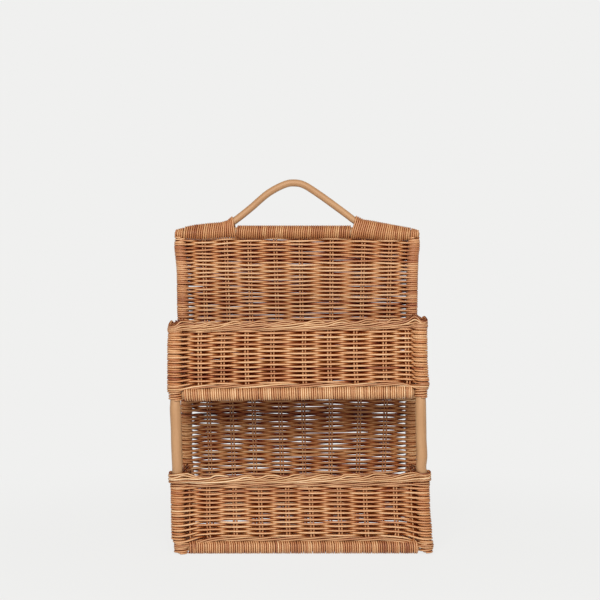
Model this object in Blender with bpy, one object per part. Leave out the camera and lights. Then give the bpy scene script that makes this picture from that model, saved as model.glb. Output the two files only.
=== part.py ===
"""Two-tier rattan shelf with a bent carrying handle, modelled in metres.

+Z is up, the open front faces -Y, and the origin is on the ground, at the middle of the outline.
Posts and rails are round rods. Each tier has a woven band round its front and sides, and a woven floor.
A weaver is one unbroken strip: it passes each pair of stakes on the side that its last course left free,
goes round the post or rail at the end of the course, and comes back one course further on.
"""

import math

import bmesh
import bpy
from mathutils import Vector

# Overall size of the frame
FRONT_SPAN = 0.3064  # between the axes of the two front posts
BACK_SPAN_FOOT = 0.2914  # between the axes of the two back posts on the ground
BACK_SPAN_HEAD = 0.3094  # the same at the height of the top rail
DEPTH = 0.112  # from the front posts' axes to the back posts' axes
TOP_RAIL_HEIGHT = 0.4055  # from the ground to the top rail's axis
UPPER_FLOOR_HEIGHT = 0.2005  # from the ground to the upper rails' axes
LOWER_RIM_HEIGHT = 0.1025  # from the ground to the top of the lower border
UPPER_RIM_HEIGHT = 0.2955  # from the ground to the top of the upper border

# Rods
FRONT_POST_DIAMETER = 0.013
BACK_POST_DIAMETER = 0.0105
RAIL_DIAMETER = 0.0124
TOP_RAIL_DIAMETER = 0.014
TOP_RAIL_OVERHANG = 0.0085  # past the back posts' axes
STAKE_DIAMETER = 0.003
STAKE_SPACING = 0.0036  # between the axes of the two stakes of a pair
PAIR_PITCH = 0.032  # wanted distance from pair to pair, rounded to fill each panel

# Weavers, each strip as wide as several strands of core laid side by side
WEAVER_THICKNESS = 0.002
COURSE_PITCH = 0.0135  # wanted rise from course to course in the bands
COURSE_GAP = 0.0005  # between neighbouring courses
BACK_COURSE_PITCH = 0.0090  # the back panel is woven finer
BACK_COURSE_GAP = 0.0016  # and more openly, so that light shows between its courses
FLOOR_COURSE_PITCH = 0.0150  # across the floors

# Borders
RIM_THICKNESS = 0.015
RIM_GROOVE = 0.0012  # depth of the grooves between the border's three strands
RIM_OVERHANG = 0.0045  # how far the border's axis lies outside the posts' axes
RIM_CORNER_RADIUS = 0.009
RIM_LAY = 0.033  # length in which one strand takes the next one's place

# Bindings
STRAND_THICKNESS = 0.0024
STRAND_GAP = 0.0007  # between neighbouring turns
CORNER_STRAND_WIDTH = 0.0028
CORNER_BINDING_HEIGHT = 0.0135
MOST_TURNS = 24
TOP_STRAND_WIDTH = 0.0060
HANDLE_STRAND_WIDTH = 0.0030

# Handle
HANDLE_DIAMETER = 0.0094
HANDLE_HEEL_SPAN = 0.180  # between the two bends where the legs leave the top rail
HANDLE_RISE = 0.0533  # from the feet's axis to the crown's axis
HANDLE_CROWN_RADIUS = 0.042
HANDLE_HEEL_RADIUS = 0.020
HANDLE_OFFSET = -0.0058  # the handle was bound on a little left of the middle
FOOT_INSET = 0.005  # from the end of the top rail to the foot's thin end
FOOT_TIP_THICKNESS = 0.003
BINDING_PAST_HEEL = 0.009  # how far the binding climbs onto each leg

# Clearances
FIT = 0.0003  # between pieces that touch
FOOT_LIFT = 0.0003  # the weaving stays this far off the ground, and the posts carry the shelf

# Shape of the meshes
POST_SIDES = 16
RAIL_SIDES = 12
HANDLE_SIDES = 12
STAKE_SIDES = 5
ARC_STEPS = 8
HEEL_STEPS = 3
FOOT_STEPS = 3
TURN_POINTS = 8
RIM_LOBES = 3
RIM_STEPS_PER_LAY = 3
RIM_CORNER_STEPS = 3
OUTER_FLAT_ANGLE = math.radians(60)  # between the flats where a weaver rounds a post
SMOOTH_ANGLE = math.radians(40)  # edges blunter than this are shaded smooth
CREST_ROUNDS = 24  # the crest of a weaver settles well before this many

# Sizes that follow from those above
half_weaver = WEAVER_THICKNESS / 2
front_post_radius = FRONT_POST_DIAMETER / 2
back_post_radius = BACK_POST_DIAMETER / 2
rail_radius = RAIL_DIAMETER / 2
top_rail_radius = TOP_RAIL_DIAMETER / 2
stake_radius = STAKE_DIAMETER / 2
half_pair = STAKE_SPACING / 2
rim_radius = RIM_THICKNESS / 2
handle_radius = HANDLE_DIAMETER / 2
front_half = FRONT_SPAN / 2


def weaver_track(radius):
    """Distance from a rod's axis to the middle of a weaver that goes round it."""
    return radius + FIT + half_weaver


def weaver_reach(radius):
    """Distance from a rod's axis to the outer face of a weaver that goes round it."""
    return weaver_track(radius) + half_weaver


def weaver_corner_reach(radius):
    """The same at the corner between the two outer flats."""
    return weaver_reach(radius) / math.cos(OUTER_FLAT_ANGLE / 2)


def binding_reach(radius):
    """Distance from a rod's axis to the outer corners of a binding round it."""
    return (radius + FIT + STRAND_THICKNESS) / math.cos(math.pi / TURN_POINTS)


lower_floor_height = FOOT_LIFT + weaver_reach(rail_radius)
front_reach = max(rim_radius + RIM_OVERHANG, weaver_reach(front_post_radius), binding_reach(front_post_radius))
back_reach = max(
    weaver_reach(back_post_radius),
    binding_reach(back_post_radius),
    handle_radius + FIT + STRAND_THICKNESS,
    top_rail_radius + FIT + STRAND_THICKNESS,
)
front_y = (front_reach - back_reach - DEPTH) / 2
back_y = front_y + DEPTH


def back_half(height):
    """Half the distance between the back posts' axes at a height."""
    share = height / TOP_RAIL_HEIGHT
    return (BACK_SPAN_FOOT + (BACK_SPAN_HEAD - BACK_SPAN_FOOT) * share) / 2


def side_half(y, height):
    """Half the distance between the middles of the two sides of the shelf."""
    share = (y - front_y) / DEPTH
    return front_half + (back_half(height) - front_half) * share


# Meshes


def colour_of(red, green, blue):
    """A colour given as it shows on a screen, as the linear one that a shader takes."""
    return tuple((channel / 255) ** 2.2 for channel in (red, green, blue)) + (1.0,)


def material(name, colour, roughness):
    """One finish of the rattan, made once and then shared."""
    made = bpy.data.materials.get(name)
    if made is None:
        made = bpy.data.materials.new(name)
        made.use_nodes = True
        shader = made.node_tree.nodes["Principled BSDF"]
        shader.inputs["Base Color"].default_value = colour
        shader.inputs["Roughness"].default_value = roughness
        shader.inputs["Metallic"].default_value = 0.0
    return made


def peeled_rod():
    return material("peeled_rod", colour_of(208, 168, 122), 0.5)


def stake_core():
    return material("stake_core", colour_of(214, 170, 118), 0.6)


def weaving_core():
    return material("weaving_core", colour_of(205, 148, 96), 0.6)


def floor_core():
    return material("floor_core", colour_of(208, 156, 104), 0.6)


def border_core():
    return material("border_core", colour_of(206, 150, 100), 0.6)


def binding_core():
    return material("binding_core", colour_of(196, 142, 96), 0.6)


def add_object(name, rings, finish):
    """One solid through rings of points, closed by a face at each end."""
    shape = bmesh.new()
    loops = [[shape.verts.new(point) for point in ring] for ring in rings]
    count = len(loops[0])
    for near, far in zip(loops, loops[1:]):
        for i in range(count):
            j = (i + 1) % count
            shape.faces.new((near[i], near[j], far[j], far[i]))
    shape.faces.new(loops[0])
    shape.faces.new(loops[-1])
    bmesh.ops.recalc_face_normals(shape, faces=shape.faces)
    mesh = bpy.data.meshes.new(name)
    shape.to_mesh(mesh)
    shape.free()
    mesh.materials.append(finish)
    mesh.shade_smooth()
    mesh.set_sharp_from_angle(angle=SMOOTH_ANGLE)
    made = bpy.data.objects.new(name, mesh)
    bpy.context.scene.collection.objects.link(made)
    return made


def circle(centre, across, up, radius_across, radius_up, sides):
    """An ellipse's points, with flats where the two directions point."""
    points = []
    for i in range(sides):
        angle = math.tau * (i + 0.5) / sides
        points.append(centre + across * radius_across * math.cos(angle) + up * radius_up * math.sin(angle))
    return points


def rod(name, start, end, radius, sides, finish, place=None):
    """A straight rod whose ends are cut square to the axis that it mostly follows."""
    along = end - start
    lengths = [abs(value) for value in along]
    axis = lengths.index(max(lengths))
    across = Vector([float(i == (axis + 1) % 3) for i in range(3)])
    up = Vector([float(i == (axis + 2) % 3) for i in range(3)])
    rings = [circle(point, across, up, radius, radius, sides) for point in (start, end)]
    if place:
        rings = [[place(point) for point in ring] for ring in rings]
    return add_object(name, rings, finish)


def lean(point):
    """Moves a point of the upright back panel sideways, as its posts spread towards the top."""
    return Vector((point.x * back_half(point.z) / back_half(0), point.y, point.z))


def tube(name, points, radius, sides, finish, place):
    """A thin rod along points in the plane of a panel, mitred at each bend."""
    rings = []
    for i, point in enumerate(points):
        into = (point - points[max(i - 1, 0)]).normalized()
        out = (points[min(i + 1, len(points) - 1)] - point).normalized()
        if i == 0:
            into = out
        if i == len(points) - 1:
            out = into
        square = Vector((-(into + out).y, (into + out).x)).normalized()
        square /= square.dot(Vector((-into.y, into.x)))
        ring = []
        for k in range(sides):
            angle = math.tau * (k + 0.5) / sides
            flat = point + square * radius * math.cos(angle)
            ring.append(place(flat.x, radius * math.sin(angle), flat.y))
        rings.append(ring)
    return add_object(name, rings, finish)


# Weaving


class Pin:
    """What a weaver passes or goes round in a panel: a rod, or a pair of stakes, seen along the stakes."""

    def __init__(self, place, radius, half=0.0):
        self.place = place
        self.track = weaver_track(radius)
        self.half = half


def crest(pins, i):
    """How far from the panel's middle a weaver passes pair i, so that it clears both stakes on its way."""
    height = pins[i].track
    for _ in range(CREST_ROUNDS):
        steepest = 0.0
        for j in (i - 1, i + 1):
            bay = abs(pins[j].place - pins[i].place) - pins[j].half
            beyond = height if 0 < j < len(pins) - 1 else pins[j].track
            steepest = max(steepest, (height + beyond) / bay)
        height = pins[i].track * math.hypot(1, steepest) + steepest * pins[i].half
    return height


def first_corner(pin, outward, length, depth):
    """Where a weaver that comes from the last pair meets the flat beside the end rod, past the rod's axis."""
    reach = length - pin.half
    slope = math.atan2(depth, reach) + math.asin(pin.track / math.hypot(reach, depth))
    run = (pin.track + depth) / math.tan(slope)
    return pin.place + outward * (run - length)


def end_turn(pins, last, side):
    """Points where a course rounds the last pin of its way, as (place, offset, whether it spans both courses)."""
    pin = pins[last]
    before = last - 1 if last else 1
    outward = 1 if last else -1
    entry = first_corner(pin, outward, abs(pin.place - pins[before].place), crest(pins, before))
    if pin.half:
        outer = pin.place + outward * (pin.half + pin.track)
        middle = [(outer, side * pin.track, True), (outer, -side * pin.track, True)]
    else:
        quarter = pin.track * math.tan(OUTER_FLAT_ANGLE / 2)
        tip = pin.track / math.cos(OUTER_FLAT_ANGLE / 2)
        middle = [
            (pin.place + outward * quarter, side * pin.track, True),
            (pin.place + outward * tip, 0.0, True),
            (pin.place + outward * quarter, -side * pin.track, True),
        ]
    return [(entry, side * pin.track, False)] + middle + [(entry, -side * pin.track, False)]


def weaver(name, pins, low, high, pitch, finish, place, gap=COURSE_GAP):
    """One strip woven back and forth between the end pins, from low to high across its courses."""
    courses = max(2, round((high - low) / pitch))
    rise = (high - low + gap) / courses
    width = rise - gap
    last = len(pins) - 1
    stations = []
    for course in range(courses):
        forward = course % 2 == 0
        order = range(1, last) if forward else range(last - 1, 0, -1)
        base = low + course * rise
        end = last if forward else 0
        if course == 0:
            stations.append((*end_turn(pins, 0, 1)[0][:2], base, base + width))
        for i in order:
            side = 1 if (i + course) % 2 == 0 else -1
            stations.append((pins[i].place, side * crest(pins, i), base, base + width))
        side = 1 if (end + course) % 2 == 0 else -1
        turn = end_turn(pins, end, side)
        stations.append((*turn[0][:2], base, base + width))
        if course == courses - 1:
            break
        for along, offset, _ in turn[1:-1]:
            stations.append((along, offset, base, base + rise + width))
        stations.append((*turn[-1][:2], base + rise, base + rise + width))
    return add_object(name, strip_rings(stations, place), finish)


def strip_rings(stations, place):
    """The four corners of a flat strip at each of its stations, mitred in the plane of its courses."""
    path = [Vector(station[:2]) for station in stations]
    rings = []
    for i, (along, offset, low, high) in enumerate(stations):
        into = (path[i] - path[i - 1]).normalized() if i else (path[1] - path[0]).normalized()
        out = (path[i + 1] - path[i]).normalized() if i < len(path) - 1 else into
        square = Vector((-(into + out).y, (into + out).x)).normalized()
        square *= half_weaver / square.dot(Vector((-into.y, into.x)))
        corners = [(-1, low), (1, low), (1, high), (-1, high)]
        rings.append([place(along + s * square.x, offset + s * square.y, level) for s, level in corners])
    return rings


def pair_places(start, end, pitch):
    """Evenly spread places between two ends, the ends left out."""
    bays = max(2, round((end - start) / pitch))
    return [start + (end - start) * i / bays for i in range(1, bays)]


def hairpins(name, places, low, high, finish, place):
    """The paired stakes of a panel as one rod: up, across the pair, down, and along to the next pair."""
    points = []
    bottom = low + stake_radius
    top = high - stake_radius
    for centre in places:
        points.append(Vector((centre - half_pair, bottom)))
        points.append(Vector((centre - half_pair, top)))
        points.append(Vector((centre + half_pair, top)))
        points.append(Vector((centre + half_pair, bottom)))
    points[0].y = low
    points[-1].y = low
    return tube(name, points, stake_radius, STAKE_SIDES, finish, place)


# Bindings


def polygon_corner(first_angle, first_reach, second_angle, second_reach):
    """Where two tangents meet, each given by the direction that it faces and its distance from the axis."""
    turn = math.sin(second_angle - first_angle)
    across = (first_reach * math.sin(second_angle) - second_reach * math.sin(first_angle)) / turn
    up = (second_reach * math.cos(first_angle) - first_reach * math.cos(second_angle)) / turn
    return across, up


def round_rod(radius):
    """The outline of a single rod: as far from its axis in every direction."""
    return lambda angle, near, far: radius


def binding(name, low, high, wanted_width, support, finish, place):
    """One strand wound round rods whose outline support gives, from edge to edge of its length."""
    turns = min(MOST_TURNS, max(2, math.floor((high - low - wanted_width) / (wanted_width + STRAND_GAP))))
    advance = (high - low + STRAND_GAP) / (turns + 1)
    width = advance - STRAND_GAP
    rings = []
    for k in range(turns * TURN_POINTS + 1):
        along = low + width / 2 + advance * k / TURN_POINTS
        angles = [math.tau * (k + j) / TURN_POINTS for j in range(2)]
        spread = width / 2 + advance / TURN_POINTS
        reaches = [support(angle, along - spread, along + spread) + FIT for angle in angles]
        inner = polygon_corner(angles[0], reaches[0], angles[1], reaches[1])
        outer = polygon_corner(
            angles[0], reaches[0] + STRAND_THICKNESS, angles[1], reaches[1] + STRAND_THICKNESS
        )
        rings.append(
            [
                place(*inner, along - width / 2),
                place(*outer, along - width / 2),
                place(*outer, along + width / 2),
                place(*inner, along + width / 2),
            ]
        )
    print(f"{name}: {turns} turns, least gap to itself {least_gap(rings) * 1000:.2f} mm")
    return add_object(name, rings, finish)


def least_gap(rings):
    """Smallest distance between the points of a turn and those of the turns after it."""
    least = math.inf
    for i, ring in enumerate(rings):
        for later in rings[i + TURN_POINTS : i + 2 * TURN_POINTS]:
            for point in ring:
                for other in later:
                    least = min(least, (point - other).length)
    return least


# Frame


def make_front_posts():
    top = UPPER_RIM_HEIGHT - RIM_THICKNESS - FIT
    for name, side in (("left", -1), ("right", 1)):
        foot = Vector((side * front_half, front_y, 0))
        head = Vector((side * front_half, front_y, top))
        rod(f"front_post_{name}", foot, head, front_post_radius, POST_SIDES, peeled_rod())


back_post_top = TOP_RAIL_HEIGHT - top_rail_radius - STRAND_THICKNESS - 2 * FIT


def make_back_posts():
    for name, side in (("left", -1), ("right", 1)):
        foot = Vector((side * back_half(0), back_y, 0))
        head = Vector((side * back_half(0), back_y, back_post_top))
        rod(f"back_post_{name}", foot, head, back_post_radius, POST_SIDES, peeled_rod(), lean)


top_rail_half = BACK_SPAN_HEAD / 2 + TOP_RAIL_OVERHANG


def make_top_rail():
    start = Vector((-top_rail_half, back_y, TOP_RAIL_HEIGHT))
    end = Vector((top_rail_half, back_y, TOP_RAIL_HEIGHT))
    rod("top_rail", start, end, top_rail_radius, RAIL_SIDES, peeled_rod())


front_rail_half = front_half - binding_reach(front_post_radius) - FIT


def make_rails():
    for tier, height in (("lower", lower_floor_height), ("upper", UPPER_FLOOR_HEIGHT)):
        start = Vector((-front_rail_half, front_y, height))
        end = Vector((front_rail_half, front_y, height))
        rod(f"{tier}_front_rail", start, end, rail_radius, RAIL_SIDES, peeled_rod())
        start = front_y + binding_reach(front_post_radius) + FIT
        end = back_y - side_rail_back_reach(tier) - FIT
        for name, side in (("left", -1), ("right", 1)):
            near = Vector((side * side_half(start, height), start, height))
            far = Vector((side * side_half(end, height), end, height))
            rod(f"{tier}_side_rail_{name}", near, far, rail_radius, RAIL_SIDES, peeled_rod())
        y, half = back_rail(tier)
        start = Vector((-half, y, height))
        end = Vector((half, y, height))
        rod(f"{tier}_back_rail", start, end, rail_radius, RAIL_SIDES, peeled_rod())


def side_rail_back_reach(tier):
    """From the back post's axis to what the side rail butts on: the post's foot binding or its weaving."""
    if tier == "lower":
        return binding_reach(back_post_radius)
    return weaver_reach(back_post_radius)


def back_rail(tier):
    """Where a tier's back rail lies, and half its length.

    The lower one lies between the back posts, its wrapping flush behind with theirs. The upper one lies
    in front of the woven back panel, and its wrapping just clears it.
    """
    if tier == "lower":
        y = back_y + weaver_reach(back_post_radius) - weaver_corner_reach(rail_radius)
        return y, back_half(lower_floor_height) - binding_reach(back_post_radius) - FIT
    y = back_y - back_panel_half_thickness - FIT - weaver_corner_reach(rail_radius)
    return y, side_half(y, UPPER_FLOOR_HEIGHT) - rail_radius - FIT


# Panels


def back_pins():
    half = back_half(0)
    places = pair_places(-half, half, PAIR_PITCH)
    posts = [Pin(-half, back_post_radius), Pin(half, back_post_radius)]
    return [posts[0]] + [Pin(place, stake_radius, half_pair) for place in places] + [posts[1]]


def front_pins():
    places = pair_places(-front_half, front_half, PAIR_PITCH)
    posts = [Pin(-front_half, front_post_radius), Pin(front_half, front_post_radius)]
    return [posts[0]] + [Pin(place, stake_radius, half_pair) for place in places] + [posts[1]]


def side_pins():
    """Pairs of stakes from just behind the front post to just before the back post."""
    margin = FIT + half_weaver + weaver_track(stake_radius) + half_pair
    start = front_y + weaver_reach(front_post_radius) + margin
    end = back_y - weaver_reach(back_post_radius) - margin
    bays = max(2, round((end - start) / PAIR_PITCH))
    return [Pin(start + (end - start) * i / bays, stake_radius, half_pair) for i in range(bays + 1)]


def floor_pins(tier):
    """The front rail, the floor's pairs of stakes and the back rail."""
    back = back_rail(tier)[0]
    places = pair_places(front_y, back, PAIR_PITCH)
    rails = [Pin(front_y, rail_radius), Pin(back, rail_radius)]
    return [rails[0]] + [Pin(place, stake_radius, half_pair) for place in places] + [rails[1]]


def middle_crest(pins):
    """The furthest that a panel's weavers stand from its middle between the end pins."""
    return max(crest(pins, i) for i in range(1, len(pins) - 1)) + half_weaver


back_panel_half_thickness = middle_crest(back_pins())


def weave_base(height):
    """Top of the floor weaver where it passes over a rail at this height, with a stake's foot above it."""
    return height + weaver_reach(rail_radius) + FIT


def make_back_panel():
    low = weave_base(lower_floor_height)
    high = back_post_top

    def place(along, offset, level):
        return lean(Vector((along, back_y - offset, level)))

    pins = back_pins()
    places = [pin.place for pin in pins[1:-1]]
    hairpins("back_stakes", places, low, high, stake_core(), place)
    woven_from = low + STAKE_DIAMETER + FIT
    weaver("back_weave", pins, woven_from, high, BACK_COURSE_PITCH, weaving_core(), place, BACK_COURSE_GAP)


def make_band(tier, floor, rim_top):
    """The stakes and weaving of a tier's front and two sides."""
    high = rim_top - RIM_THICKNESS - FIT

    def front(along, offset, level):
        return Vector((along, front_y - offset, level))

    pins = front_pins()
    low = weave_base(floor)
    woven_from = low + STAKE_DIAMETER + FIT
    hairpins(f"{tier}_front_stakes", [pin.place for pin in pins[1:-1]], low, high, stake_core(), front)
    weaver(f"{tier}_front_weave", pins, woven_from, high, COURSE_PITCH, weaving_core(), front)

    pins = side_pins()
    low = floor + rail_radius + FIT
    woven_from = low + STAKE_DIAMETER + FIT
    for name, side in (("left", -1), ("right", 1)):

        def place(along, offset, level, side=side):
            return Vector((side * (side_half(along, floor) + offset), along, level))

        hairpins(f"{tier}_side_stakes_{name}", [pin.place for pin in pins], low, high, stake_core(), place)
        weaver(f"{tier}_side_weave_{name}", pins, woven_from, high, COURSE_PITCH, weaving_core(), place)


def make_floor(tier, height):
    """A floor: pairs of stakes from side rail to side rail, and weavers from front to back."""
    back, back_rail_half = back_rail(tier)
    stake_room = rail_radius + FIT + STAKE_DIAMETER
    front_limit = min(front_rail_half, side_half(front_y, height) - stake_room) - FIT
    back_limit = min(back_rail_half, side_half(back, height) - stake_room) - FIT

    def woven_half(y):
        share = (y - front_y) / (back - front_y)
        return front_limit + (back_limit - front_limit) * share

    def place(along, offset, level):
        return Vector((level * woven_half(along) / front_limit, along, height + offset))

    pins = floor_pins(tier)
    weaver(f"{tier}_floor_weave", pins, -front_limit, front_limit, FLOOR_COURSE_PITCH, floor_core(), place)

    def stake_place(along, offset, across):
        return Vector((across, along, height + offset))

    points = []
    side = -1
    for pin in pins[1:-1]:
        for y in (pin.place - half_pair, pin.place + half_pair):
            end = side_half(y, height) - rail_radius - FIT - stake_radius
            points.append(Vector((y, side * end)))
            points.append(Vector((y, -side * end)))
            side = -side
    tube(f"{tier}_floor_stakes", points, stake_radius, STAKE_SIDES, stake_core(), stake_place)


# Borders


def lobed_ring(centre, outward, turn):
    """A section of the border: three rounded strands laid round each other."""
    points = []
    for i in range(2 * RIM_LOBES):
        angle = turn + math.pi * i / RIM_LOBES
        radius = rim_radius if i % 2 == 0 else rim_radius - RIM_GROOVE
        points.append(centre + outward * radius * math.cos(angle) + Vector((0, 0, radius * math.sin(angle))))
    return points


def border(name, points, finish, outward=None):
    """A border along points of its axis, its strands turning at a steady rate. Its ends are cut along outward."""
    rings = []
    way = 0.0
    for i, point in enumerate(points):
        ahead = points[min(i + 1, len(points) - 1)] - point
        behind = point - points[max(i - 1, 0)]
        way += behind.length
        tangent = (ahead.normalized() + behind.normalized()).normalized()
        across = outward or Vector((tangent.y, -tangent.x, 0))
        rings.append(lobed_ring(point, across, math.tau / RIM_LOBES * way / RIM_LAY))
    return add_object(name, rings, finish)


def straight(start, end):
    """Evenly spaced points of a straight stretch, the last left out."""
    steps = max(1, round((end - start).length * RIM_STEPS_PER_LAY / RIM_LAY))
    return [start.lerp(end, i / steps) for i in range(steps)]


def front_border_points(height):
    """From behind the left front post, round the corner, across the front and round the right corner."""
    side = front_half + RIM_OVERHANG
    front = front_y - RIM_OVERHANG
    back = front_y + front_post_radius + RIM_CORNER_RADIUS
    centre_x = side - RIM_CORNER_RADIUS
    centre_y = front + RIM_CORNER_RADIUS
    points = [Vector((-side, back, height))]
    for i in range(RIM_CORNER_STEPS + 1):
        angle = math.pi + math.pi / 2 * i / RIM_CORNER_STEPS
        corner = Vector((-centre_x, centre_y, height))
        points.append(corner + Vector((math.cos(angle), math.sin(angle), 0)) * RIM_CORNER_RADIUS)
    points += straight(points[-1], Vector((centre_x, front, height)))[1:]
    for i in range(RIM_CORNER_STEPS + 1):
        angle = math.pi / 2 * (i / RIM_CORNER_STEPS - 1)
        corner = Vector((centre_x, centre_y, height))
        points.append(corner + Vector((math.cos(angle), math.sin(angle), 0)) * RIM_CORNER_RADIUS)
    points.append(Vector((side, back, height)))
    return points


def make_rim(tier, top):
    """A tier's border: a front piece with both corners, which it returns, and two pieces to the back posts."""
    height = top - rim_radius
    front = border(f"{tier}_rim_front", front_border_points(height), border_core())
    start = front_y + front_post_radius + RIM_CORNER_RADIUS + FIT
    end = back_y - weaver_reach(back_post_radius) - FIT
    for name, side in (("left", -1), ("right", 1)):
        near = Vector((side * (front_half + RIM_OVERHANG), start, height))
        far = Vector((side * (back_half(height) + RIM_OVERHANG), end, height))
        border(f"{tier}_rim_{name}", straight(near, far) + [far], border_core(), Vector((side, 0, 0)))
    return front


def notch_for_posts(border_object):
    """Lets the front posts through a border that lies below their tops."""
    for side in (-1, 1):
        low = Vector((side * front_half, front_y, 0))
        high = Vector((side * front_half, front_y, UPPER_RIM_HEIGHT))
        name = "post_hole_left" if side < 0 else "post_hole_right"
        cutter = rod(name, low, high, front_post_radius + FIT, POST_SIDES, peeled_rod())
        cutter.hide_render = True
        cutter.display_type = "WIRE"
        cut = border_object.modifiers.new(name, "BOOLEAN")
        cut.operation = "DIFFERENCE"
        cut.object = cutter


# Handle


def handle_angle():
    """Slope of the straight legs, from the tangent between the crown's and the heel's circles."""
    half = HANDLE_HEEL_SPAN / 2
    radii = HANDLE_CROWN_RADIUS + HANDLE_HEEL_RADIUS
    rise = HANDLE_RISE - radii
    return math.atan2(rise, half) + math.asin(radii / math.hypot(half, rise))


leg_angle = handle_angle()
heel_half = HANDLE_HEEL_SPAN / 2
leg_foot_out = heel_half - HANDLE_HEEL_RADIUS * math.sin(leg_angle)
leg_foot_up = HANDLE_HEEL_RADIUS * (1 - math.cos(leg_angle))
foot_seat = TOP_RAIL_HEIGHT + top_rail_radius + FIT
foot_axis_height = foot_seat + handle_radius


def foot_end(side):
    """How far out from the handle's middle its foot ends."""
    return top_rail_half - FOOT_INSET - side * HANDLE_OFFSET


def foot_thickness(out, side):
    """Thickness of the foot, which is thinned from the heel to its end."""
    share = min(1.0, max(0.0, (out - heel_half) / (foot_end(side) - heel_half)))
    return HANDLE_DIAMETER + (FOOT_TIP_THICKNESS - HANDLE_DIAMETER) * share


def handle_section(out, side):
    """Height of the handle's middle and its half height, in an upright cut this far out from its middle."""
    if out >= heel_half:
        half = foot_thickness(out, side) / 2
        return foot_seat + half, half
    tilt = math.asin(min(1.0, (heel_half - out) / HANDLE_HEEL_RADIUS))
    return foot_axis_height + HANDLE_HEEL_RADIUS * (1 - math.cos(tilt)), handle_radius / math.cos(tilt)


def handle_half_points(side):
    """(out, height, tilt, half thickness) from the foot's thin end to the crown."""
    points = []
    for i in range(FOOT_STEPS):
        out = foot_end(side) + (heel_half - foot_end(side)) * i / FOOT_STEPS
        half = foot_thickness(out, side) / 2
        points.append((out, foot_seat + half, 0.0, half))
    for i in range(HEEL_STEPS + 1):
        tilt = leg_angle * i / HEEL_STEPS
        out = heel_half - HANDLE_HEEL_RADIUS * math.sin(tilt)
        height = foot_axis_height + HANDLE_HEEL_RADIUS * (1 - math.cos(tilt))
        points.append((out, height, tilt, handle_radius))
    crown = foot_axis_height + HANDLE_RISE - HANDLE_CROWN_RADIUS
    for i in range(ARC_STEPS // 2):
        tilt = leg_angle * (1 - 2 * i / ARC_STEPS)
        out = HANDLE_CROWN_RADIUS * math.sin(tilt)
        points.append((out, crown + HANDLE_CROWN_RADIUS * math.cos(tilt), tilt, handle_radius))
    return points


def make_handle():
    across = Vector((0, 1, 0))
    rings = []
    left = [(-1, *point) for point in handle_half_points(-1)]
    crown = [(-1, 0.0, foot_axis_height + HANDLE_RISE, 0.0, handle_radius)]
    right = [(1, *point) for point in reversed(handle_half_points(1))]
    for side, out, height, tilt, half in left + crown + right:
        centre = Vector((HANDLE_OFFSET + side * out, back_y, height))
        up = Vector((side * math.sin(tilt), 0, math.cos(tilt)))
        rings.append(circle(centre, across, up, handle_radius, half, HANDLE_SIDES))
    add_object("handle", rings, peeled_rod())


def make_handle_bindings():
    """Each binding holds a foot of the handle on the top rail and climbs onto the leg."""
    for name, side in (("left", -1), ("right", 1)):

        def support(angle, near, far, side=side):
            reach = top_rail_radius
            for along in (near, far):
                out = min(along - side * HANDLE_OFFSET, foot_end(side))
                height, half = handle_section(out, side)
                rod_reach = math.hypot(handle_radius * math.cos(angle), half * math.sin(angle))
                reach = max(reach, (height - TOP_RAIL_HEIGHT) * math.sin(angle) + rod_reach)
            return reach

        def place(across, up, along, side=side):
            return Vector((side * along, back_y + across, TOP_RAIL_HEIGHT + up))

        low = heel_half - BINDING_PAST_HEEL + side * HANDLE_OFFSET
        binding(f"handle_binding_{name}", low, top_rail_half, HANDLE_STRAND_WIDTH, support, binding_core(), place)


def make_top_rail_wrap():
    """The binding between the handle's legs, which starts where a leg has risen clear of the strand."""
    room = leg_foot_up - handle_radius / math.cos(leg_angle) + handle_radius - STRAND_THICKNESS - 2 * FIT
    clear = min(leg_foot_out, leg_foot_out + room / math.tan(leg_angle))
    clear = min(clear, heel_half - BINDING_PAST_HEEL - FIT)

    def place(across, up, along):
        return Vector((along, back_y + across, TOP_RAIL_HEIGHT + up))

    low = HANDLE_OFFSET - clear
    high = HANDLE_OFFSET + clear
    binding("top_rail_wrap", low, high, TOP_STRAND_WIDTH, round_rod(top_rail_radius), binding_core(), place)


def make_corner_bindings():
    """Short bindings round the posts, where the rails meet them."""

    def short_binding(name, height, radius, place):
        low = height - CORNER_BINDING_HEIGHT / 2
        high = height + CORNER_BINDING_HEIGHT / 2
        binding(name, low, high, CORNER_STRAND_WIDTH, round_rod(radius), binding_core(), place)

    for name, side in (("left", -1), ("right", 1)):

        def front(across, up, level, side=side):
            return Vector((side * (front_half + across), front_y + up, level))

        def back(across, up, level, side=side):
            return lean(Vector((side * (back_half(0) + across), back_y + up, level)))

        short_binding(f"lower_corner_binding_{name}", lower_floor_height, front_post_radius, front)
        short_binding(f"upper_corner_binding_{name}", UPPER_FLOOR_HEIGHT, front_post_radius, front)
        short_binding(f"back_foot_binding_{name}", lower_floor_height, back_post_radius, back)


def main():
    for old in list(bpy.data.objects):
        bpy.data.objects.remove(old)
    make_front_posts()
    make_back_posts()
    make_top_rail()
    make_rails()
    make_back_panel()
    tiers = (("lower", lower_floor_height, LOWER_RIM_HEIGHT), ("upper", UPPER_FLOOR_HEIGHT, UPPER_RIM_HEIGHT))
    for tier, floor, rim_top in tiers:
        make_band(tier, floor, rim_top)
        make_floor(tier, floor)
        rim = make_rim(tier, rim_top)
        if tier == "lower":
            notch_for_posts(rim)
    make_handle()
    make_handle_bindings()
    make_top_rail_wrap()
    make_corner_bindings()


main()
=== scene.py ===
import math

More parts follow.
